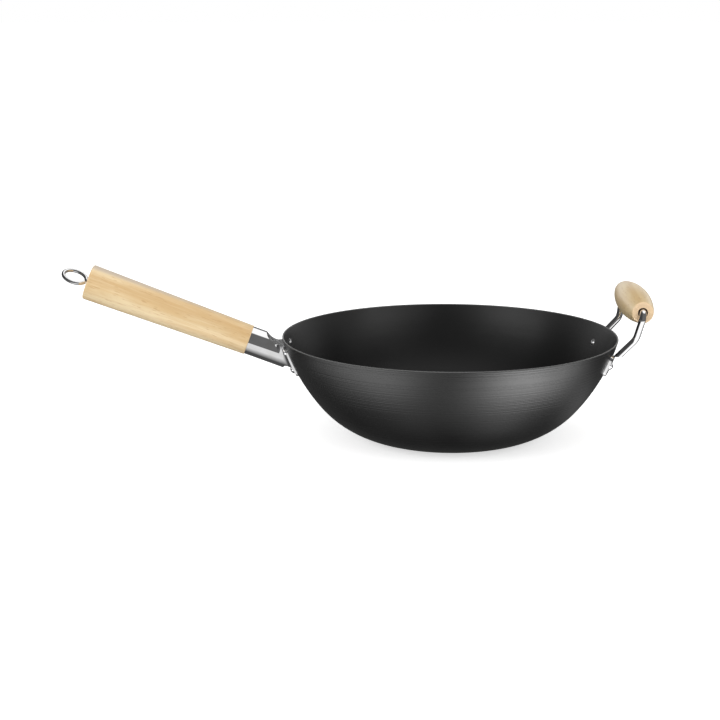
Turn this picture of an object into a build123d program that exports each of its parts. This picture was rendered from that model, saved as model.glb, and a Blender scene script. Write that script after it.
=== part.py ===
from build123d import *
from math import acos, asin, atan2, cos, degrees, radians, sin, sqrt, tan
import os

# Carbon steel wok with a wooden long handle and a wooden helper handle.
# Millimetres. +Z is up, the origin is the centre of the flat base's underside,
# the long handle points along -X and the helper handle along +X.

os.makedirs("parts", exist_ok=True)

# Bowl, spun from one sheet
rim_radius = 175.0
bowl_depth = 105.0
base_radius = 75.0
corner_radius = 40.0
bowl_wall = 1.5
corner_slope = 16.5        # degrees, where the base corner runs into the wall
rim_slope = 73.4           # degrees, the wall at the rim
wall_split_share = 0.745   # tangent length of the lower wall arc over the upper one's

# Rivets, one size for both handles
rivet_shank_radius = 2.5
rivet_hole_clearance = 0.05
rivet_head_radius = 4.3
rivet_head_height = 2.6
rivet_tail_radius = 3.7
rivet_tail_height = 1.3

# Socket of the long handle, pressed from sheet
handle_rise = 20.5         # degrees above level
socket_drop = 20.0         # where the handle's axis meets the wall, below the rim
socket_reach = 45.0        # from there to the wood
socket_radius = 15.0
socket_sheet = 2.0
flare_radius = 7.0
top_lip_length = 14.5      # full tube left above the cut
cut_run = 14.3             # level length of the cut's curve
cut_floor_drop = 6.6       # top edge of the cheeks below the rim
heel_length = 43.5         # tube's underside, from the wood to the notch
notch_half_width = 11.0
notch_corner_radius = 3.0
ear_top_half_width = 32.0
ear_foot_half_width = 28.5
ear_foot_drop = 37.5
ear_corner_radius = 5.0
upper_rivet_drop = 12.0
upper_rivet_offset = 25.5
lower_rivet_drop = 30.5
lower_rivet_offset = 22.0

# Wooden long handle
handle_length = 177.5
handle_end_radius = 18.7
handle_neck_radius = 15.8
handle_end_rounding = 2.2
handle_neck_rounding = 0.6
tenon_length = 11.0
tenon_clearance = 0.1

# Hanging eye with its tie rod, web and nut
eye_wire_radius = 2.0
eye_inside_radius = 10.1
eye_neck_inside_radius = 2.0
eye_end_gap = 0.3          # between the loop and the wood
eye_tip_gap = 0.3          # between the wire's cut end and its neck
eye_lean = 18.0            # degrees, how far the loop leans out of flat
rod_bore_clearance = 0.3
rod_mouth_chamfer = 1.5
web_thickness = 2.0
web_clearance = 0.05
nut_width = 7.0            # across flats
nut_height = 3.2
thread_clearance = 0.02
rod_tail_length = 1.5

# Helper handle, one bent wire with flattened ends
bail_wire_radius = 3.5
grip_axis_reach = 16.3     # beyond the rim
grip_axis_rise = 36.0      # above the rim
bail_leg_length = 31.9
bail_leg_lean = 11.0       # degrees, away from the bowl
bail_leg_splay = 24.0      # degrees, sideways
bail_corner_inside_radius = 4.0
bail_corner_inset_share = 0.5    # bend's start inside the end of the grip, of that radius
bail_bend_inside_radius = 10.0
bail_foot_drop = 21.1      # where the wire's middle meets the wall
pad_step_drop = 10.0       # underside of the round wire where it becomes a pad
pad_thickness = 2.8
pad_width = 13.0
pad_length = 22.0
pad_corner_radius = 4.0
helper_rivet_drop = 19.3
helper_rivet_azimuth = 19.5  # degrees either side of the helper handle's middle

# Turned wooden grip
grip_half_length = 62.0
grip_middle_radius = 16.8
grip_end_radius = 10.9
grip_end_rounding = 1.6
grip_bore_clearance = 1.15
grip_hang_gap = 0.3        # over the wire, where the grip hangs on it

# One overrun for every cut
overrun = 5.0

below = (Align.CENTER, Align.CENTER, Align.MAX)
above = (Align.CENTER, Align.CENTER, Align.MIN)


# Outer wall profile as arcs: the base corner, then a lower and an upper wall arc
def wall_arcs():
    low, high = radians(corner_slope), radians(rim_slope)
    foot = Vector(base_radius + corner_radius * sin(low), corner_radius * (1 - cos(low)))
    rim = Vector(rim_radius, bowl_depth)
    foot_way = Vector(cos(low), sin(low))
    rim_way = Vector(cos(high), sin(high))
    span = rim - foot
    # Tangent lengths of the two arcs that join foot and rim smoothly
    k = wall_split_share
    a = 2 * k * (foot_way.dot(rim_way) - 1)
    b = -2 * (k * span.dot(foot_way) + span.dot(rim_way))
    rim_tangent = (-b - sqrt(b * b - 4 * a * span.dot(span))) / (2 * a)
    foot_tangent = k * rim_tangent
    chord = rim - rim_way * rim_tangent - foot - foot_way * foot_tangent
    middle = atan2(chord.Y, chord.X)
    lower_radius = foot_tangent / tan((middle - low) / 2)
    upper_radius = rim_tangent / tan((high - middle) / 2)
    lower_centre = foot + Vector(-sin(low), cos(low)) * lower_radius
    upper_centre = rim + Vector(-sin(high), cos(high)) * upper_radius
    return [
        (Vector(base_radius, corner_radius), corner_radius, 0, low),
        (lower_centre, lower_radius, low, middle),
        (upper_centre, upper_radius, middle, high),
    ]


arcs = wall_arcs()


# Point of an arc where the wall has this slope, moved outwards by outset
def arc_point(arc, slope, outset):
    centre, radius = arc[0], arc[1]
    return centre + Vector(sin(slope), -cos(slope)) * (radius + outset)


# The profile's base line and arcs, moved outwards by outset
def wall_line(outset):
    line = Line((0, -outset), (base_radius, -outset))
    for arc in arcs:
        start, end = arc[2], arc[3]
        points = [arc_point(arc, slope, outset) for slope in (start, (start + end) / 2, end)]
        line += ThreePointArc(*points)
    return line


# Everything inside the wall moved outwards by outset, run on straight above the rim
def bowl_core(outset, run_on=0):
    high = radians(rim_slope)
    rim = arc_point(arcs[-1], high, outset)
    top = rim + Vector(cos(high), sin(high)) * run_on
    line = wall_line(outset)
    if run_on:
        line += Line(rim, top)
    line += Polyline(top, (0, top.Y), (0, -outset))
    return revolve(Plane.XZ * make_face(line), Axis.Z)


# Frame on the outer wall: x level along the wall, z outwards
def wall_plane(drop, azimuth):
    centre, radius = arcs[-1][0], arcs[-1][1]
    slope = acos((centre.Y - bowl_depth + drop) / radius)
    reach = centre.X + radius * sin(slope)
    turn = radians(azimuth)
    return Plane(
        origin=(reach * cos(turn), reach * sin(turn), bowl_depth - drop),
        x_dir=(-sin(turn), cos(turn), 0),
        z_dir=(sin(slope) * cos(turn), sin(slope) * sin(turn), -cos(slope)),
    )


# Azimuth, from -X, of a point of the wall that lies this far off the handle's plane
def handle_azimuth(drop, offset):
    reach = abs(wall_plane(drop, 180).origin.X)
    return 180 - degrees(asin(offset / reach))


bracket_rivet_planes = [
    wall_plane(drop, side * handle_azimuth(drop, offset))
    for drop, offset in (
        (upper_rivet_drop, upper_rivet_offset),
        (lower_rivet_drop, lower_rivet_offset),
    )
    for side in (-1, 1)
]
helper_rivet_planes = [wall_plane(helper_rivet_drop, side * helper_rivet_azimuth) for side in (-1, 1)]


# Rivet hole through anything that lies on the wall
def rivet_hole(plane):
    hole = Cylinder(rivet_shank_radius + rivet_hole_clearance, 2 * rivet_head_radius + overrun)
    return plane.location * hole


# Domed solid standing on the level z = 0
def dome(radius, height):
    ball = (radius * radius + height * height) / (2 * height)
    half_turn = asin(radius / ball) / 2
    shoulder = (ball * sin(half_turn), ball * cos(half_turn) - ball + height)
    line = ThreePointArc((radius, 0), shoulder, (0, height))
    line += Polyline((0, height), (0, 0), (radius, 0))
    return revolve(Plane.XZ * make_face(line), Axis.Z)


# Rivet through the wall and the sheet on it, both heads seated on the curved faces
def rivet(plane, sheet):
    shank_length = sheet + bowl_wall + rivet_tail_height
    shank = Pos(0, 0, (sheet - bowl_wall) / 2) * Cylinder(rivet_shank_radius, shank_length)
    head = dome(rivet_head_radius, rivet_head_height)
    head += Cylinder(rivet_head_radius, sheet / 2, align=below)
    tail = Rot(X=180) * dome(rivet_tail_radius, rivet_tail_height)
    tail += Cylinder(rivet_tail_radius, bowl_wall / 2, align=above)
    head = plane.location * Pos(0, 0, sheet) * head - bowl_core(sheet)
    tail = plane.location * Pos(0, 0, -bowl_wall) * tail & bowl_core(-bowl_wall)
    return plane.location * shank + head + tail


# Bowl with a rounded rim and its rivet holes
def make_bowl():
    high = radians(rim_slope)
    outer_end = arc_point(arcs[-1], high, 0)
    inner_end = arc_point(arcs[-1], high, -bowl_wall)
    crest = (outer_end + inner_end) * 0.5 + Vector(cos(high), sin(high)) * (bowl_wall / 2)
    line = wall_line(0) + wall_line(-bowl_wall)
    line += ThreePointArc(outer_end, crest, inner_end)
    line += Line((0, 0), (0, bowl_wall))
    bowl = revolve(Plane.XZ * make_face(line), Axis.Z)
    for plane in bracket_rivet_planes + helper_rivet_planes:
        bowl -= rivet_hole(plane)
    return bowl


# Frame of the long handle: origin where wood meets socket, x up across it, z out along it
rise = radians(handle_rise)
handle_way = Vector(-cos(rise), 0, sin(rise))
handle_up = Vector(sin(rise), 0, cos(rise))
socket_root = wall_plane(socket_drop, 180).origin
handle_plane = Plane(origin=socket_root + handle_way * socket_reach, x_dir=handle_up, z_dir=handle_way)


# Tube of this radius joined to the wall moved out by outset, with a flared foot
def flared_tube(radius, outset, flare):
    tube = Cylinder(radius, socket_reach + 2 * socket_radius, align=below)
    blank = handle_plane.location * tube + bowl_core(outset, 3 * socket_radius)
    seam = [
        edge
        for edge in blank.edges()
        if edge.geom_type not in (GeomType.CIRCLE, GeomType.LINE)
        and edge.center().X < 0
        and abs(edge.center().Y) < 2 * socket_radius
    ]
    return fillet(seam, flare)


# Side view of what is cut from the top of the socket, down to the level cheeks
def top_cut():
    lip = handle_plane.from_local_coords(Vector(socket_radius, 0, -top_lip_length))
    floor_level = bowl_depth - cut_floor_drop
    floor_start = Vector(lip.X + cut_run, floor_level)
    start = Vector(lip.X, lip.Z)
    above_lip = lip.Z + socket_radius
    curve = TangentArc(floor_start, start, tangent=(-1, 0))
    line = curve + Polyline(start, (start.X, above_lip), (0, above_lip), (0, floor_level), floor_start)
    return extrude(Plane.XZ * make_face(line), rim_radius, both=True)


# Front view of the two ears, as one plate before the notch
def ear_outline():
    top = bowl_depth - cut_floor_drop
    foot = bowl_depth - ear_foot_drop
    line = Polyline(
        (-ear_top_half_width, top),
        (ear_top_half_width, top),
        (ear_foot_half_width, foot),
        (-ear_foot_half_width, foot),
        close=True,
    )
    return Plane.YZ * fillet(make_face(line).vertices(), ear_corner_radius)


# Socket: rolled tube, S-cut top, notched heel and two flared ears on the wall
def make_bracket():
    outer = flared_tube(socket_radius, socket_sheet, flare_radius)
    inner = flared_tube(socket_radius - socket_sheet, 0, flare_radius + socket_sheet)
    ears = extrude(ear_outline(), handle_plane.origin.X - socket_radius)
    tube = Cylinder(socket_radius, socket_reach, align=below)
    bracket = (outer - inner) & (ears + handle_plane.location * tube)
    bracket -= top_cut()
    notch = Box(2 * socket_radius, 2 * notch_half_width, socket_reach, align=(Align.MAX,) + below[1:])
    notch = fillet(notch.edges().filter_by(Axis.X), notch_corner_radius)
    bracket -= handle_plane.location * Pos(-socket_radius / 2, 0, -heel_length) * notch
    for plane in bracket_rivet_planes:
        bracket -= rivet_hole(plane)
    return bracket


# Bore for the rod along the handle's axis, between these two lengths
def rod_bore(start, end):
    return Pos(0, 0, start) * Cylinder(eye_wire_radius + rod_bore_clearance, end - start, align=above)


# Turned wooden handle: tapered grip, tenon in the socket, bore for the rod
def make_long_handle():
    wood = Cone(handle_neck_radius, handle_end_radius, handle_length, align=above)
    wood = fillet(wood.edges().sort_by(Axis.Z)[-1], handle_end_rounding)
    wood = fillet(wood.edges().sort_by(Axis.Z)[0], handle_neck_rounding)
    tenon_radius = socket_radius - socket_sheet - tenon_clearance
    wood += Cylinder(tenon_radius, tenon_length, align=below)
    wood -= rod_bore(-tenon_length - overrun, handle_length + overrun)
    bore_radius = eye_wire_radius + rod_bore_clearance
    mouth = Cone(bore_radius, bore_radius + rod_mouth_chamfer, rod_mouth_chamfer, align=below)
    return handle_plane.location * (wood - Pos(0, 0, handle_length) * mouth)


# Web in the socket, against the tenon
def make_web():
    disc = Cylinder(socket_radius - socket_sheet - web_clearance, web_thickness, align=below)
    disc = Pos(0, 0, -tenon_length) * disc
    return handle_plane.location * (disc - rod_bore(-tenon_length - web_thickness - overrun, 0))


# Six-sided nut on the rod, against the web
def make_nut():
    corner = nut_width / 2 / cos(radians(30))
    blank = Cylinder(corner, nut_height)
    blank = chamfer(blank.edges().filter_by(GeomType.CIRCLE), corner - nut_width / 2)
    prism = extrude(RegularPolygon(nut_width / 2, 6, major_radius=False), nut_height / 2, both=True)
    nut = blank & prism
    nut -= Cylinder(eye_wire_radius + thread_clearance, nut_height + overrun)
    middle = -tenon_length - web_thickness - nut_height / 2
    return handle_plane.location * Pos(0, 0, middle) * nut


# Round wire bent along a path
def bent_wire(path, radius):
    section = Plane(origin=path @ 0, z_dir=path % 0) * Circle(radius)
    return sweep(section, path=path)


# Hanging eye: one wire, straight through the handle, then a neck and an open loop
def make_eye():
    wire = eye_wire_radius
    loop = eye_inside_radius + wire
    neck = eye_neck_inside_radius + wire
    centre = Vector(0, handle_length + eye_end_gap + wire + loop)
    neck_start = Vector(0, centre.Y - sqrt((loop + neck) ** 2 - neck * neck))
    neck_centre = neck_start + Vector(neck, 0)
    neck_end = neck_centre + (centre - neck_centre) * (neck / (loop + neck))
    tail = Vector(0, -tenon_length - web_thickness - nut_height - rod_tail_length)
    tip_side = 2 * wire + eye_tip_gap
    tip = centre - Vector(tip_side, sqrt(loop * loop - tip_side * tip_side))
    path = Line(tail, neck_start)
    path += TangentArc(neck_start, neck_end, tangent=(0, 1))
    path += ThreePointArc(neck_end, centre + Vector(0, loop), tip)
    turn = radians(90 - eye_lean)
    eye_plane = Plane((0, 0, 0), x_dir=(cos(turn), sin(turn), 0), z_dir=(sin(turn), -cos(turn), 0))
    path = handle_plane.location * (eye_plane * path)
    return bent_wire(path, wire)


bail_corner_radius = bail_corner_inside_radius + bail_wire_radius
bail_corner_inset = bail_corner_inside_radius * bail_corner_inset_share
grip_axis_level = bowl_depth + grip_axis_rise
bail_top_level = grip_axis_level + grip_bore_clearance - grip_hang_gap


# Foot on the wall, bend and corner of the helper handle's wire on one side
def bail_points(side):
    leg_way = Vector(tan(radians(bail_leg_lean)), side * tan(radians(bail_leg_splay)), 1).normalized()
    turn = acos(leg_way.dot(Vector(0, -side, 0)))
    half_width = grip_half_length - bail_corner_inset + bail_corner_radius * tan(turn / 2)
    corner = Vector(rim_radius + grip_axis_reach, side * half_width, bail_top_level)
    foot = wall_plane(bail_foot_drop, side * helper_rivet_azimuth).origin
    return [foot, corner - leg_way * bail_leg_length, corner]


# Flattened end of the wire, lying on the wall
def pad(plane):
    outline = RectangleRounded(pad_width, pad_length, pad_corner_radius)
    sheet = bowl_core(pad_thickness) - bowl_core(0)
    return sheet & plane.location * extrude(outline, pad_length, both=True)


# Helper handle: round wire over the wall, pads with rivet holes
def make_bail():
    points = bail_points(-1) + bail_points(1)[::-1]
    bend_radius = bail_bend_inside_radius + bail_wire_radius
    radii = (bend_radius, bail_corner_radius, bail_corner_radius, bend_radius)
    bail = bent_wire(FilletPolyline(*points, radius=radii), bail_wire_radius)
    bail = split(bail, Plane.XY.offset(bowl_depth - pad_step_drop))
    bail -= bowl_core(0)
    for plane in helper_rivet_planes:
        bail += pad(plane)
    for plane in helper_rivet_planes:
        bail -= rivet_hole(plane)
    return bail


# Turned barrel grip, bored wide enough for the wire's bends
def make_grip():
    half = grip_half_length
    line = ThreePointArc((grip_end_radius, -half), (grip_middle_radius, 0), (grip_end_radius, half))
    line += Polyline((grip_end_radius, half), (0, half), (0, -half), (grip_end_radius, -half))
    grip = revolve(Plane.XZ * make_face(line), Axis.Z)
    ends = grip.edges().filter_by(GeomType.CIRCLE).sort_by(Axis.Z)
    grip = fillet([ends[0], ends[-1]], grip_end_rounding)
    grip -= Cylinder(bail_wire_radius + grip_bore_clearance, 2 * half + overrun)
    axis = Plane((rim_radius + grip_axis_reach, 0, grip_axis_level), x_dir=(1, 0, 0), z_dir=(0, 1, 0))
    return axis.location * grip


pieces = {
    "wok_bowl": make_bowl(),
    "handle_bracket": make_bracket(),
    "bracket_rivets": Compound([rivet(plane, socket_sheet) for plane in bracket_rivet_planes]),
    "long_handle": make_long_handle(),
    "socket_web": make_web(),
    "tie_rod_nut": make_nut(),
    "hanging_eye": make_eye(),
    "helper_bail": make_bail(),
    "helper_rivets": Compound([rivet(plane, pad_thickness) for plane in helper_rivet_planes]),
    "helper_grip": make_grip(),
}
for name, shape in pieces.items():
    print(name, len(shape.solids()), round(shape.volume))
    export_step(shape, f"parts/{name}.step")
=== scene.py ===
import bpy
from math import cos, pi, radians, sin
from mathutils import Euler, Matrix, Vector


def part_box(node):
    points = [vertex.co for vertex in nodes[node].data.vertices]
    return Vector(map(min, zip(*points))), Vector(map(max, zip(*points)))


# Carbon steel wok with two wooden handles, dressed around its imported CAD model.
# Metres, +Z up, the long handle points along -X and the helper handle along +X.
# The surroundings are fitted to a view from the front, -Y: matt, satin and polished
# surfaces each see a floor and a sky of their own.

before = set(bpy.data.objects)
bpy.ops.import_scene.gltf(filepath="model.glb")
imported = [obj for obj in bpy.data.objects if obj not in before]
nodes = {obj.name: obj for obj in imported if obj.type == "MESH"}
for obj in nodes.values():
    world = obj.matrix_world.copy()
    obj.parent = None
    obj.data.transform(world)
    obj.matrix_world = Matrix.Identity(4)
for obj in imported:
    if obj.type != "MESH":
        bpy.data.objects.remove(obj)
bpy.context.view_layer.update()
print("stage: frame loaded with", len(nodes), "nodes")

handleFoot = (-0.209975, 0.0, 0.100759)     # where the long handle's wood begins, on its axis
handleRise = radians(20.5)                  # above level
gripMiddle = (0.1913, 0.0, 0.141)


def srgb(*levels):
    # sRGB levels 0-255, three or one grey, to a linear colour
    levels = levels if len(levels) == 3 else levels * 3
    shares = [level / 255 for level in levels]
    values = [s / 12.92 if s <= 0.04045 else ((s + 0.055) / 1.055) ** 2.4 for s in shares]
    return (*values, 1.0)


def addNode(tree, kind, **values):
    node = tree.nodes.new(kind)
    for key, value in values.items():
        setattr(node, key, value)
    return node


def plug(tree, socket, value):
    # A number or colour is set, an output is linked
    if isinstance(value, bpy.types.NodeSocket):
        tree.links.new(value, socket)
    elif value is not None:
        socket.default_value = value


def calc(tree, operation, a, b=None, clamp=False):
    node = addNode(tree, "ShaderNodeMath", operation=operation, use_clamp=clamp)
    plug(tree, node.inputs[0], a)
    plug(tree, node.inputs[1], b)
    return node.outputs[0]


def noise(tree, vector, scale, detail=2.0, roughness=0.5, distortion=0.0):
    node = addNode(tree, "ShaderNodeTexNoise")
    plug(tree, node.inputs["Vector"], vector)
    values = {"Scale": scale, "Detail": detail, "Roughness": roughness, "Distortion": distortion}
    for name, value in values.items():
        plug(tree, node.inputs[name], value)
    return node.outputs["Fac"]


def mapping(tree, vector, scale=(1, 1, 1), location=(0, 0, 0), rotation=(0, 0, 0), kind="POINT"):
    node = addNode(tree, "ShaderNodeMapping", vector_type=kind)
    plug(tree, node.inputs["Vector"], vector)
    for name, value in (("Location", location), ("Rotation", rotation), ("Scale", scale)):
        node.inputs[name].default_value = value
    return node.outputs["Vector"]


def ramp(tree, factor, stops):
    node = addNode(tree, "ShaderNodeValToRGB")
    plug(tree, node.inputs["Fac"], factor)
    points = node.color_ramp.elements
    while len(points) < len(stops):
        points.new(0.5)
    for point, (place, colour) in zip(points, stops):
        point.position = place
        point.color = colour
    return node.outputs["Color"]


def mapRange(tree, value, low, high, outLow=0.0, outHigh=1.0, kind="LINEAR"):
    node = addNode(tree, "ShaderNodeMapRange", interpolation_type=kind)
    plug(tree, node.inputs["Value"], value)
    values = {"From Min": low, "From Max": high, "To Min": outLow, "To Max": outHigh}
    for name, number in values.items():
        plug(tree, node.inputs[name], number)
    return node.outputs["Result"]


def blendColour(tree, factor, first, second):
    node = addNode(tree, "ShaderNodeMix", data_type="RGBA")
    plug(tree, node.inputs["Factor"], factor)
    plug(tree, node.inputs[6], first)
    plug(tree, node.inputs[7], second)
    return node.outputs[2]


def separate(tree, vector):
    node = addNode(tree, "ShaderNodeSeparateXYZ")
    plug(tree, node.inputs[0], vector)
    return node.outputs


def combine(tree, x=0.0, y=0.0, z=0.0):
    node = addNode(tree, "ShaderNodeCombineXYZ")
    for socket, value in zip(node.inputs, (x, y, z)):
        plug(tree, socket, value)
    return node.outputs[0]


def vectorMath(tree, operation, a, b=None, output="Value"):
    node = addNode(tree, "ShaderNodeVectorMath", operation=operation)
    plug(tree, node.inputs[0], a)
    plug(tree, node.inputs[1], b)
    return node.outputs[output]


def bump(tree, shader, height, strength, distance):
    node = addNode(tree, "ShaderNodeBump")
    plug(tree, node.inputs["Height"], height)
    node.inputs["Strength"].default_value = strength
    node.inputs["Distance"].default_value = distance
    plug(tree, shader.inputs["Normal"], node.outputs["Normal"])


def newMaterial(name):
    material = bpy.data.materials.new(name)
    material.use_nodes = True
    tree = material.node_tree
    point = addNode(tree, "ShaderNodeTexCoord").outputs["Object"]
    return material, tree, tree.nodes["Principled BSDF"], point


def dress(nodeNames, material):
    for name in nodeNames:
        slots = nodes[name].data.materials
        slots.clear()
        slots.append(material)


def newGroup(name, inputs, outputs):
    group = bpy.data.node_groups.new(name, "ShaderNodeTree")
    for label, kind, value in inputs:
        kind = "NodeSocket" + kind
        socket = group.interface.new_socket(name=label, in_out="INPUT", socket_type=kind)
        if value is not None:
            socket.default_value = value
    for label in outputs:
        kind = "NodeSocketFloat"
        group.interface.new_socket(name=label, in_out="OUTPUT", socket_type=kind)
    entry = group.nodes.new("NodeGroupInput").outputs
    return group, entry, group.nodes.new("NodeGroupOutput").inputs


def place(tree, group, **values):
    # A group in a material; underscores in the names of its sockets stand for spaces
    node = tree.nodes.new("ShaderNodeGroup")
    node.node_tree = group
    for name, value in values.items():
        plug(tree, node.inputs[name.replace("_", " ")], value)
    return node.outputs


print("stage: shared effects")


def makeEdgeWear():
    # 1 on sharp edges, broken up by noise: the rounded normal against the real one
    group, entry, out = newGroup(
        "edgeWear",
        [("Vector", "Vector", None), ("Width", "Float", 0.0008), ("Patches", "Float", 180.0)],
        ["Wear"],
    )
    soft = addNode(group, "ShaderNodeBevel", samples=4)
    plug(group, soft.inputs["Radius"], entry["Width"])
    real = addNode(group, "ShaderNodeNewGeometry").outputs["Normal"]
    alike = vectorMath(group, "DOT_PRODUCT", soft.outputs[0], real)
    blunt, sharp = 0.99, 0.85
    patchSpan, least = (0.35, 0.6), 0.35        # least wear between the patches
    edge = mapRange(group, alike, blunt, sharp)
    patches = noise(group, entry["Vector"], entry["Patches"], 3.0, 0.6)
    worn = mapRange(group, patches, *patchSpan, least, 1.0)
    plug(group, out["Wear"], calc(group, "MULTIPLY", edge, worn, clamp=True))
    return group


def makeSpunLines():
    # Fine rings about the Z axis, as a spinning tool leaves them, and soft clouds over them
    group, entry, out = newGroup(
        "spunLines",
        [
            ("Vector", "Vector", None), ("Ring Scale", "Float", 900.0),
            ("Cloud Scale", "Float", 14.0),
        ],
        ["Rings", "Clouds"],
    )
    climb = 1.3                                 # so that they follow a steep wall too
    driftScale, driftSize = 9.0, 0.0012         # how far a ring wanders, metres
    parts = separate(group, entry["Vector"])
    across = vectorMath(group, "LENGTH", combine(group, parts[0], parts[1]))
    along = calc(group, "ADD", across, calc(group, "MULTIPLY", parts[2], climb))
    drift = calc(group, "MULTIPLY", noise(group, entry["Vector"], driftScale), driftSize)
    ring = combine(group, calc(group, "ADD", along, drift))
    plug(group, out["Rings"], noise(group, ring, entry["Ring Scale"], 1.0, 0.5))
    plug(group, out["Clouds"], noise(group, entry["Vector"], entry["Cloud Scale"], 3.0))
    return group


def makeHairScratches():
    # Thin curved scratches where a stretched noise crosses its middle
    group, entry, out = newGroup(
        "hairScratches",
        [("Vector", "Vector", None), ("Scale", "Float", 60.0), ("Thickness", "Float", 0.006)],
        ["Scratches"],
    )
    layers = [      # stretch, turn
        ((1, 7, 3), (0.6, 0.42, 0.78)),
        ((6, 1, 4), (1.9, 1.33, 2.47)),
        ((5, 6, 1), (2.8, 1.96, 3.64)),
    ]
    gapScale, gapSpan = 90.0, (0.45, 0.6)
    total = None
    for stretch, turn in layers:
        way = mapping(group, entry["Vector"], stretch, rotation=turn)
        field = noise(group, way, entry["Scale"], 1.0, 0.4, 0.6)
        off = calc(group, "ABSOLUTE", calc(group, "SUBTRACT", field, 0.5))
        line = mapRange(group, off, 0.0, entry["Thickness"], 1.0, 0.0)
        total = line if total is None else calc(group, "MAXIMUM", total, line)
    gaps = mapRange(group, noise(group, entry["Vector"], gapScale, 2.0), *gapSpan)
    plug(group, out["Scratches"], calc(group, "MULTIPLY", total, gaps))
    return group


def makeWoodGrain():
    # Grain along Z: broad figure, fine fibres and short dark pores
    group, entry, out = newGroup(
        "woodGrain",
        [
            ("Vector", "Vector", None), ("Figure Scale", "Float", 55.0),
            ("Fibre Scale", "Float", 520.0),
        ],
        ["Figure", "Fibres", "Pores"],
    )
    figureStretch, fibreStretch, poreStretch = 0.16, 0.035, 0.12
    poreShare, poreSpan = 1.6, (0.64, 0.72)     # pores against fibres in scale
    long = mapping(group, entry["Vector"], (1, 1, figureStretch))
    fine = mapping(group, entry["Vector"], (1, 1, fibreStretch))
    dash = mapping(group, entry["Vector"], (1, 1, poreStretch))
    plug(group, out["Figure"], noise(group, long, entry["Figure Scale"], 3.0, 0.55, 0.7))
    plug(group, out["Fibres"], noise(group, fine, entry["Fibre Scale"], 4.0, 0.65, 0.15))
    poreScale = calc(group, "MULTIPLY", entry["Fibre Scale"], poreShare)
    dashes = noise(group, dash, poreScale, 1.0, 0.5)
    plug(group, out["Pores"], mapRange(group, dashes, *poreSpan))
    return group


def makeDust():
    # Sparse small specks
    group, entry, out = newGroup(
        "dust", [("Vector", "Vector", None), ("Scale", "Float", 1400.0)], ["Specks"]
    )
    specks = addNode(group, "ShaderNodeTexVoronoi")
    plug(group, specks.inputs["Vector"], entry["Vector"])
    plug(group, specks.inputs["Scale"], entry["Scale"])
    core, edge = 0.08, 0.22                     # of a speck, as shares of its cell
    patchScale, patchSpan = 260.0, (0.56, 0.66)
    near = mapRange(group, specks.outputs["Distance"], core, edge, 1.0, 0.0)
    some = mapRange(group, noise(group, entry["Vector"], patchScale, 2.0), *patchSpan)
    plug(group, out["Specks"], calc(group, "MULTIPLY", near, some))
    return group


edgeWear = makeEdgeWear()
spunLines = makeSpunLines()
hairScratches = makeHairScratches()
woodGrain = makeWoodGrain()
dust = makeDust()

print("stage: bowl")

spunSteelLook = {
    "dark": srgb(11), "light": srgb(16),    # black heat-treated steel, in clouds
    "cloudSpan": (0.3, 0.7),
    "rim": srgb(88),                        # painted highlight along the rim, also the colour of worn edges
    "rimHeight": 0.0005,                    # metres of the rim given the painted highlight
    "roughness": 0.36, "roughnessSpread": 0.1, "specular": 0.3,
    "ringScale": 430.0, "ringDepth": 0.4, "ringHeight": 0.001,      # height in metres
    "ringInside": 0.12,                     # share of them on the inner side,
    "sideBlend": 0.02,                      # and how softly it sets in
    "scratch": 0.05, "scratchScale": 30.0,
    "speck": srgb(70), "speckShade": 0.35,
    "wearWidth": 0.0007, "wearShade": 0.5,
}


def makeSpunSteel(look):
    material, tree, shader, point = newMaterial("spunBlackSteel")
    lines = place(tree, spunLines, Vector=point, Ring_Scale=look["ringScale"])
    marks = place(tree, hairScratches, Vector=point, Scale=look["scratchScale"])["Scratches"]
    specks = place(tree, dust, Vector=point)["Specks"]
    worn = place(tree, edgeWear, Vector=point, Width=look["wearWidth"])["Wear"]
    parts = separate(tree, point)
    clouds = mapRange(tree, lines["Clouds"], *look["cloudSpan"])
    colour = blendColour(tree, clouds, look["dark"], look["light"])
    specks = calc(tree, "MULTIPLY", specks, look["speckShade"])
    colour = blendColour(tree, specks, colour, look["speck"])
    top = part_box("wok_bowl")[1][2]
    # Painted highlight: a pale band along the top of the rim; worn edges take the same colour
    edge = mapRange(tree, parts[2], top - 2 * look["rimHeight"], top - look["rimHeight"])
    edge = calc(tree, "MAXIMUM", edge, calc(tree, "MULTIPLY", worn, look["wearShade"]))
    plug(tree, shader.inputs["Base Color"], blendColour(tree, edge, colour, look["rim"]))
    shader.inputs["Specular IOR Level"].default_value = look["specular"]
    spread = look["roughnessSpread"]
    rough, clouded = (calc(tree, "MULTIPLY", lines[name], spread) for name in ("Rings", "Clouds"))
    rough = calc(tree, "ADD", rough, clouded)
    rough = calc(tree, "SUBTRACT", rough, calc(tree, "MULTIPLY", marks, look["scratch"]))
    plug(tree, shader.inputs["Roughness"], calc(tree, "ADD", rough, look["roughness"] - spread))
    # Full rings on the outer side, faint ones inside
    normal = addNode(tree, "ShaderNodeTexCoord").outputs["Normal"]
    outwards = vectorMath(tree, "DOT_PRODUCT", combine(tree, parts[0], parts[1]), normal)
    blend = look["sideBlend"]
    share = mapRange(tree, outwards, -blend, blend, look["ringInside"], 1.0)
    height = calc(tree, "MULTIPLY", lines["Rings"], share)
    bump(tree, shader, height, look["ringDepth"], look["ringHeight"])
    return material


dress(["wok_bowl"], makeSpunSteel(spunSteelLook))

print("stage: plated and plain steel")

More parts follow.
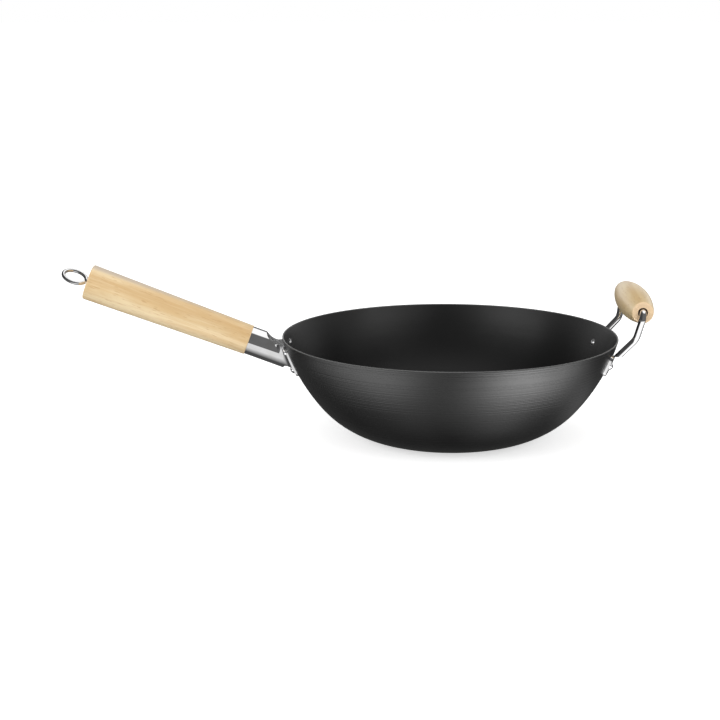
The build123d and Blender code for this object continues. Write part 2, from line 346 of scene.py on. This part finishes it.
chromeLook = {
    "bright": (0.84, 0.84, 0.85, 1), "dull": (0.76, 0.755, 0.75, 1), "worn": (0.55, 0.53, 0.5, 1),
    "roughness": 0.0, "scratchRoughness": 0.003, "wearRoughness": 0.003, "waves": 0.0,
    "specks": 0.003, "scratchShade": 0.25,
}
rivetLook = {
    "bright": (0.8, 0.8, 0.81, 1), "dull": (0.66, 0.66, 0.67, 1), "worn": (0.5, 0.49, 0.48, 1),
    "roughness": 0.16, "scratchRoughness": 0.2, "wearRoughness": 0.3, "waves": 0.06,
    "specks": 0.2, "scratchShade": 0.3,
}
innerSteelLook = {
    "bright": (0.5, 0.5, 0.51, 1), "dull": (0.36, 0.36, 0.36, 1), "worn": (0.3, 0.28, 0.26, 1),
    "roughness": 0.3, "scratchRoughness": 0.15, "wearRoughness": 0.4, "waves": 0.15,
    "specks": 0.3, "scratchShade": 0.3,
}
metalMarks = {      # alike on all of them: scales per metre, widths and heights in metres
    "scratchScale": 70.0, "scratchThickness": 0.004,
    "wearWidth": 0.0005, "wearPatches": 400.0, "wearShade": 0.6,
    "speckScale": 1100.0, "cloudScale": 120.0, "cloudSpan": (0.35, 0.7),
    "waveScale": 260.0, "waveHeight": 0.0002,
}


def makeMetal(name, look, paintedInside=None):
    # for a socket: its axis, and a dull near-white colour on its inner side that is a painted
    # reflection of the bright floor its plating mirrors
    material, tree, shader, point = newMaterial(name)
    same = metalMarks
    scale, thickness = same["scratchScale"], same["scratchThickness"]
    marks = place(tree, hairScratches, Vector=point, Scale=scale, Thickness=thickness)["Scratches"]
    width, patches = same["wearWidth"], same["wearPatches"]
    worn = place(tree, edgeWear, Vector=point, Width=width, Patches=patches)["Wear"]
    specks = place(tree, dust, Vector=point, Scale=same["speckScale"])["Specks"]
    clouds = noise(tree, point, same["cloudScale"], 3.0, 0.6)
    cloudy = mapRange(tree, clouds, *same["cloudSpan"])
    colour = blendColour(tree, cloudy, look["bright"], look["dull"])
    scratched = calc(tree, "MULTIPLY", marks, look["scratchShade"])
    colour = blendColour(tree, scratched, colour, look["worn"])
    rubbed = calc(tree, "MULTIPLY", worn, same["wearShade"])
    colour = blendColour(tree, rubbed, colour, look["worn"])
    rough = calc(tree, "MULTIPLY", marks, look["scratchRoughness"])
    rough = calc(tree, "MAXIMUM", rough, calc(tree, "MULTIPLY", worn, look["wearRoughness"]))
    rough = calc(tree, "MAXIMUM", rough, calc(tree, "MULTIPLY", specks, look["specks"]))
    rough = calc(tree, "ADD", rough, look["roughness"])
    shader.inputs["Metallic"].default_value = 1.0
    if paintedInside:
        # Inner faces look towards the socket's axis
        normal = addNode(tree, "ShaderNodeTexCoord").outputs["Normal"]
        arm = vectorMath(tree, "SUBTRACT", point, paintedInside["origin"], "Vector")
        along = vectorMath(tree, "DOT_PRODUCT", arm, paintedInside["way"])
        reach = combine(tree, *[calc(tree, "MULTIPLY", along, part) for part in paintedInside["way"]])
        radial = vectorMath(tree, "SUBTRACT", arm, reach, "Vector")
        facing = vectorMath(tree, "DOT_PRODUCT", radial, normal)
        inner = mapRange(tree, facing, *paintedInside["facing"], 1.0, 0.0)
        near = mapRange(tree, vectorMath(tree, "LENGTH", radial), *paintedInside["reach"], 1.0, 0.0)
        inner = calc(tree, "MULTIPLY", inner, near)
        # Painted reflection: the inner faces take a dull near-white colour in place of the bright
        # floor their plating mirrors
        cloudy = mapRange(tree, clouds, *paintedInside["cloudSpan"])
        dull = blendColour(tree, cloudy, paintedInside["pale"], paintedInside["grey"])
        colour = blendColour(tree, inner, colour, dull)
        rough = calc(tree, "MAXIMUM", rough, calc(tree, "MULTIPLY", inner, paintedInside["roughness"]))
        metallic = mapRange(tree, inner, 0.0, 1.0, 1.0, paintedInside["metallic"])
        plug(tree, shader.inputs["Metallic"], metallic)
    plug(tree, shader.inputs["Base Color"], colour)
    plug(tree, shader.inputs["Roughness"], rough)
    waves = noise(tree, point, same["waveScale"], 2.0)
    bump(tree, shader, waves, look["waves"], same["waveHeight"])
    return material


# The socket's axis, and a painted reflection: a dull near-white colour on its inner faces
socketPaintedInside = {
    "origin": handleFoot, "way": (-cos(handleRise), 0.0, sin(handleRise)),
    "facing": (-0.002, 0.0), "reach": (0.022, 0.026),       # metres from the socket's axis
    "pale": srgb(246), "grey": srgb(234), "cloudSpan": (0.3, 0.7),
    "roughness": 0.45, "metallic": 0.1,
}
dress(["helper_bail", "hanging_eye"], makeMetal("polishedPlating", chromeLook))
dress(["handle_bracket"], makeMetal("socketPlatingPaintedInside", chromeLook, socketPaintedInside))
dress(["bracket_rivets", "helper_rivets"], makeMetal("rivetSteel", rivetLook))
dress(["socket_web", "tie_rod_nut"], makeMetal("plainSteel", innerSteelLook))

print("stage: wood")

handleWoodLook = {
    "pale": srgb(236, 214, 172), "tan": srgb(216, 182, 130), "heart": srgb(202, 162, 106),
    "sheenAndWear": srgb(208, 194, 176), "endGrain": srgb(218, 186, 140), "pore": srgb(190, 146, 94),
    "bore": srgb(70, 38, 18), "boreRadius": 0.0034,
    "origin": handleFoot, "turn": (0.0, handleRise - radians(90), 0.0),     # Z along the handle
    "band": 0.0098, "bandHalf": 0.0075, "bandWander": 0.01,     # dark heart, metres above the axis
    "topSheen": (0.0148, 0.018),                                   # painted sheen: paler top, metres above the axis
    "ends": (0.0, 0.1775), "endDepth": 0.0012,
    "roughness": 0.42, "lacquer": 0.6, "lacquerRoughness": 0.3,
}
gripWoodLook = {
    "pale": srgb(226, 202, 156), "tan": srgb(212, 182, 130), "heart": srgb(206, 172, 118),
    "sheenAndWear": srgb(226, 212, 190), "endGrain": srgb(234, 203, 164), "pore": srgb(178, 138, 88),
    "bore": srgb(66, 34, 14), "boreRadius": 0.0052,
    "origin": gripMiddle, "turn": (radians(90), 0.0, 0.0),
    "band": -0.004, "bandHalf": 0.005, "bandWander": 0.02,
    "ends": (-0.062, 0.062), "endDepth": 0.0012,
    "roughness": 0.42, "lacquer": 0.85, "lacquerRoughness": 0.3,
}
woodSurface = {     # alike on both: scales per metre, widths and heights in metres
    "wearWidth": 0.0012, "wearPatches": 220.0, "wearShade": 0.35,
    "speckScale": 900.0, "speckRoughness": 0.15,
    "figureSpan": (0.4, 0.68), "fibreSpan": (0.48, 0.68), "fibreShade": 0.6,
    "fibreRoughness": 0.16, "poreShade": 0.5, "topSheenShare": 0.85,
    "wanderScale": 9.0, "wanderStretch": (0.2, 0.2, 1),
    "bandCore": 0.2, "bandFibres": (0.3, 0.6, 0.35, 0.8),
    "endRingScale": 380.0, "endRingSpan": (0.25, 0.75), "endShade": 0.75, "boreEdge": 0.0002,
    "specular": 0.35, "grainDepth": 0.12, "grainHeight": 0.0003,
}


def makeWood(name, look):
    material, tree, shader, point = newMaterial(name)
    same = woodSurface
    local = mapping(tree, point, location=look["origin"], rotation=look["turn"], kind="TEXTURE")
    grain = place(tree, woodGrain, Vector=local)
    width, patches = same["wearWidth"], same["wearPatches"]
    worn = place(tree, edgeWear, Vector=point, Width=width, Patches=patches)["Wear"]
    specks = place(tree, dust, Vector=point, Scale=same["speckScale"])["Specks"]
    parts = separate(tree, local)
    figure = mapRange(tree, grain["Figure"], *same["figureSpan"])
    colour = blendColour(tree, figure, look["pale"], look["tan"])
    # The heart is a band that wanders along the wood
    stretched = mapping(tree, local, same["wanderStretch"])
    wander = noise(tree, stretched, same["wanderScale"], 2.0)
    wander = calc(tree, "SUBTRACT", wander, 0.5)
    middle = calc(tree, "ADD", calc(tree, "MULTIPLY", wander, look["bandWander"]), look["band"])
    off = calc(tree, "ABSOLUTE", calc(tree, "SUBTRACT", parts[0], middle))
    half = look["bandHalf"]
    heart = mapRange(tree, off, half * same["bandCore"], half, 1.0, 0.0, "SMOOTHSTEP")
    heart = calc(tree, "MULTIPLY", heart, mapRange(tree, grain["Fibres"], *same["bandFibres"]))
    colour = blendColour(tree, heart, colour, look["heart"])
    fibres = mapRange(tree, grain["Fibres"], *same["fibreSpan"], 0.0, same["fibreShade"])
    colour = blendColour(tree, fibres, colour, look["tan"])
    pores = calc(tree, "MULTIPLY", grain["Pores"], same["poreShade"])
    colour = blendColour(tree, pores, colour, look["pore"])
    # Painted sheen: towards its top the wood is blended to a paler greyer colour; worn edges below
    # take the same colour
    if "topSheen" in look:
        shade = same["topSheenShare"]
        topSheen = mapRange(tree, parts[0], *look["topSheen"], 0.0, shade, "SMOOTHSTEP")
        colour = blendColour(tree, topSheen, colour, look["sheenAndWear"])
    # End grain on both end faces, and painted shade inside the bore
    low, high = look["ends"]
    lower = mapRange(tree, parts[2], low, low + look["endDepth"], 1.0, 0.0)
    upper = mapRange(tree, parts[2], high - look["endDepth"], high)
    ends = calc(tree, "MAXIMUM", lower, upper)
    flat = mapping(tree, local, (1, 1, 0))
    rings = noise(tree, flat, same["endRingScale"], 3.0, 0.6, 0.4)
    rings = mapRange(tree, rings, *same["endRingSpan"], same["endShade"], 1.0)
    ends = calc(tree, "MULTIPLY", ends, rings)
    colour = blendColour(tree, ends, colour, look["endGrain"])
    worn = calc(tree, "MULTIPLY", worn, same["wearShade"])
    colour = blendColour(tree, worn, colour, look["sheenAndWear"])
    # Painted shade: the inside of the bore is dark brown, as a hole in shadow
    across = vectorMath(tree, "LENGTH", combine(tree, parts[0], parts[1]))
    radius = look["boreRadius"]
    bore = mapRange(tree, across, radius - same["boreEdge"], radius, 1.0, 0.0)
    plug(tree, shader.inputs["Base Color"], blendColour(tree, bore, colour, look["bore"]))
    rough = calc(tree, "MULTIPLY", grain["Fibres"], same["fibreRoughness"])
    rough = calc(tree, "ADD", rough, look["roughness"])
    rough = calc(tree, "ADD", rough, calc(tree, "MULTIPLY", specks, same["speckRoughness"]))
    plug(tree, shader.inputs["Roughness"], rough)
    shader.inputs["Specular IOR Level"].default_value = same["specular"]
    shader.inputs["Coat Weight"].default_value = look["lacquer"]
    shader.inputs["Coat Roughness"].default_value = look["lacquerRoughness"]
    height = calc(tree, "SUBTRACT", grain["Fibres"], grain["Pores"])
    bump(tree, shader, height, same["grainDepth"], same["grainHeight"])
    return material


dress(["long_handle"], makeWood("handleWood", handleWoodLook))
dress(["helper_grip"], makeWood("gripWood", gripWoodLook))

print("stage: studio")

floorLook = {
    "size": 30, "colour": (0.8, 0.8, 0.8, 1), "roughness": 0.9,
    "glow": 0.62,                               # lifts it to white without more light on the wok
    "mirrorLeft": 0.85, "mirrorRight": 1.3,     # what polished metal sees of it in front,
    "mirrorFar": 0.15, "mirrorBack": 0.075,     # beyond that and behind
    "mirrorTurn": (-0.1, 0.1),                  # from left to right, metres
    "mirrorEdge": (0.5, 0.58),                  # where the pale part ends, metres from the middle
    "mirrorSplit": (-0.1, -0.005),              # from front to back, metres
    "satinGlow": 0.12,                          # what satin surfaces see of it all over
    "pools": [                                  # and its bright spots: x, y, size, strength
        (0.143, -0.229, 0.109, 9.53), (0.204, -0.177, 0.109, 5.80),
        (-0.155, -0.221, 0.109, 5.15), (-0.279, -0.195, 0.125, 4.50),
        (0.311, -0.138, 0.125, 3.58), (0.070, -0.261, 0.109, 3.41),
        (-0.328, -0.088, 0.125, 2.17), (-0.088, -0.328, 0.125, 2.17),
        (-0.221, -0.155, 0.109, 1.82), (0.052, -0.193, 0.094, 1.71),
        (0.106, -0.170, 0.094, 1.12), (-0.070, -0.261, 0.109, 1.02),
        (-0.052, -0.193, 0.094, 1.01), (0.384, -0.171, 0.142, 0.81),
        (-0.241, -0.344, 0.142, 0.64), (-0.115, -0.164, 0.094, 0.40),
        (0.247, -0.110, 0.109, 0.38), (0.199, -0.017, 0.094, 0.31),
        (0.183, -0.081, 0.094, 0.24),
    ],
}


def makeFloor(look):
    bpy.ops.object.select_all(action="DESELECT")
    bpy.ops.mesh.primitive_plane_add(size=look["size"], location=(0, 0, 0))
    floor = bpy.context.object
    floor.name = "floor"
    material, tree, shader, point = newMaterial("paleFloor")
    shader.inputs["Roughness"].default_value = look["roughness"]
    shader.inputs["Specular IOR Level"].default_value = 0.0
    shader.inputs["Emission Color"].default_value = (1, 1, 1, 1)
    parts = separate(tree, point)
    path = addNode(tree, "ShaderNodeLightPath").outputs
    satin = look["satinGlow"]
    for x, y, size, strength in look["pools"]:
        away = vectorMath(tree, "DISTANCE", point, (x, y, 0))
        pool = mapRange(tree, away, 0.0, size, strength, 0.0, "SMOOTHSTEP")
        satin = calc(tree, "ADD", satin, pool)
    front = mapRange(tree, parts[1], *look["mirrorSplit"], 1.0, 0.0)
    near = mapRange(tree, vectorMath(tree, "LENGTH", point), *look["mirrorEdge"], 1.0, 0.0)
    pale = calc(tree, "MULTIPLY", front, near)
    bright = mapRange(tree, parts[0], *look["mirrorTurn"], look["mirrorLeft"], look["mirrorRight"])
    sharp = mapRange(tree, front, 0.0, 1.0, look["mirrorBack"], look["mirrorFar"])
    sharp = mapRange(tree, pale, 0.0, 1.0, sharp, bright)
    satin = calc(tree, "MULTIPLY", satin, calc(tree, "SUBTRACT", 1.0, path["Is Singular Ray"]))
    sharp = calc(tree, "MULTIPLY", sharp, path["Is Singular Ray"])
    glossy = calc(tree, "MULTIPLY", calc(tree, "ADD", satin, sharp), path["Is Glossy Ray"])
    seen = calc(tree, "MULTIPLY", path["Is Camera Ray"], look["glow"])
    colour = blendColour(tree, path["Is Glossy Ray"], look["colour"], (0, 0, 0, 1))
    plug(tree, shader.inputs["Base Color"], colour)
    plug(tree, shader.inputs["Emission Strength"], calc(tree, "ADD", seen, glossy))
    floor.data.materials.append(material)


worldLook = {
    "fill": 0.8,                                # what matt surfaces see
    # Height in the sky and brightness, for satin surfaces and for polished metal
    "satin": [(0.0, 1.0), (0.2, 1.0), (0.36, 0.1), (0.8, 0.1), (0.9, 1.0)],
    "mirror": [(0.0, 0.15), (0.9, 0.15), (0.96, 1.25)],
    "backLift": 0.35, "rightLift": 0.35,        # how much earlier the latter turns white there
    "leftShade": 0.4, "leftEdge": -0.5,         # how dark its grey gets on the left, and where
}


def makeWorld(look):
    world = bpy.data.worlds.new("studio")
    bpy.context.scene.world = world
    world.use_nodes = True
    tree = world.node_tree
    way = separate(tree, addNode(tree, "ShaderNodeTexCoord").outputs["Generated"])
    lifted = calc(tree, "ADD", way[2], calc(tree, "MULTIPLY", way[1], look["backLift"]))
    lifted = calc(tree, "ADD", lifted, calc(tree, "MULTIPLY", way[0], look["rightLift"]))
    satin = ramp(tree, way[2], [(z, (v, v, v, 1)) for z, v in look["satin"]])
    mirror = ramp(tree, lifted, [(z, (v, v, v, 1)) for z, v in look["mirror"]])
    shade = mapRange(tree, way[0], look["leftEdge"], 0.0, look["leftShade"], 1.0)
    mirror = vectorMath(tree, "MULTIPLY", mirror, combine(tree, shade, shade, shade), "Vector")
    path = addNode(tree, "ShaderNodeLightPath").outputs
    glossy = blendColour(tree, path["Is Singular Ray"], satin, mirror)
    light = blendColour(tree, path["Is Glossy Ray"], (look["fill"],) * 3 + (1,), glossy)
    seen = calc(tree, "MAXIMUM", path["Is Camera Ray"], path["Is Transmission Ray"])
    colour = blendColour(tree, seen, light, (1, 1, 1, 1))
    plug(tree, tree.nodes["Background"].inputs["Color"], colour)


softboxes = [   # name, azimuth from the camera's side to the right, elevation, width, radiance
    ("leftSoftbox", -45, 26, 0.7, 4.1),
    ("leftOuterSoftbox", -70, 26, 0.7, 2.7),
    ("leftInnerSoftbox", -20, 26, 0.5, 1.0),
    ("rightSoftbox", 55, 26, 0.7, 3.1),
    ("rightInnerSoftbox", 30, 26, 0.7, 1.85),
    ("rightOuterSoftbox", 80, 26, 0.7, 0.85),
    ("highSoftbox", 105, 62, 0.5, 2.3),
]
lampHeight = 0.42
lampDistance = 1.6
lampAim = Vector((0, 0, 0.1))
unlit = bpy.data.collections.new("unlitByLamps")
for name in ("helper_bail", "hanging_eye"):
    # Polished pieces mirror the sky and the floor, not the lamps
    unlit.objects.link(nodes[name])
for member in unlit.collection_objects:
    member.light_linking.link_state = "EXCLUDE"


def addLamp(name, azimuth, elevation, width, radiance):
    light = bpy.data.lights.new(name, "AREA")
    light.shape = "RECTANGLE"
    light.size, light.size_y = width, lampHeight
    light.energy = radiance * width * lampHeight * pi
    lamp = bpy.data.objects.new(name, light)
    bpy.context.scene.collection.objects.link(lamp)
    lamp.light_linking.receiver_collection = unlit
    turn, lift = radians(azimuth), radians(elevation)
    way = Vector((sin(turn) * cos(lift), -cos(turn) * cos(lift), sin(lift)))
    lamp.location = lampAim + way * lampDistance
    lamp.rotation_euler = way.to_track_quat("Z", "Y").to_euler()


cameraView = {
    "place": (-0.0933, -1.7927, 0.4773), "tilt": 77.473, "roll": 0.068,     # degrees
    "lens": 87.5, "sensor": 36,                                             # millimetres
}


def makeCamera(look):
    camera = bpy.data.objects.new("camera", bpy.data.cameras.new("camera"))
    bpy.context.scene.collection.objects.link(camera)
    camera.data.lens = look["lens"]
    camera.data.sensor_width = look["sensor"]
    camera.location = look["place"]
    camera.rotation_euler = Euler((radians(look["tilt"]), radians(look["roll"]), 0))
    bpy.context.scene.camera = camera


makeFloor(floorLook)
makeWorld(worldLook)
for lamp in softboxes:
    addLamp(*lamp)
makeCamera(cameraView)
bpy.context.scene.view_settings.view_transform = "Standard"

print("stage: done")
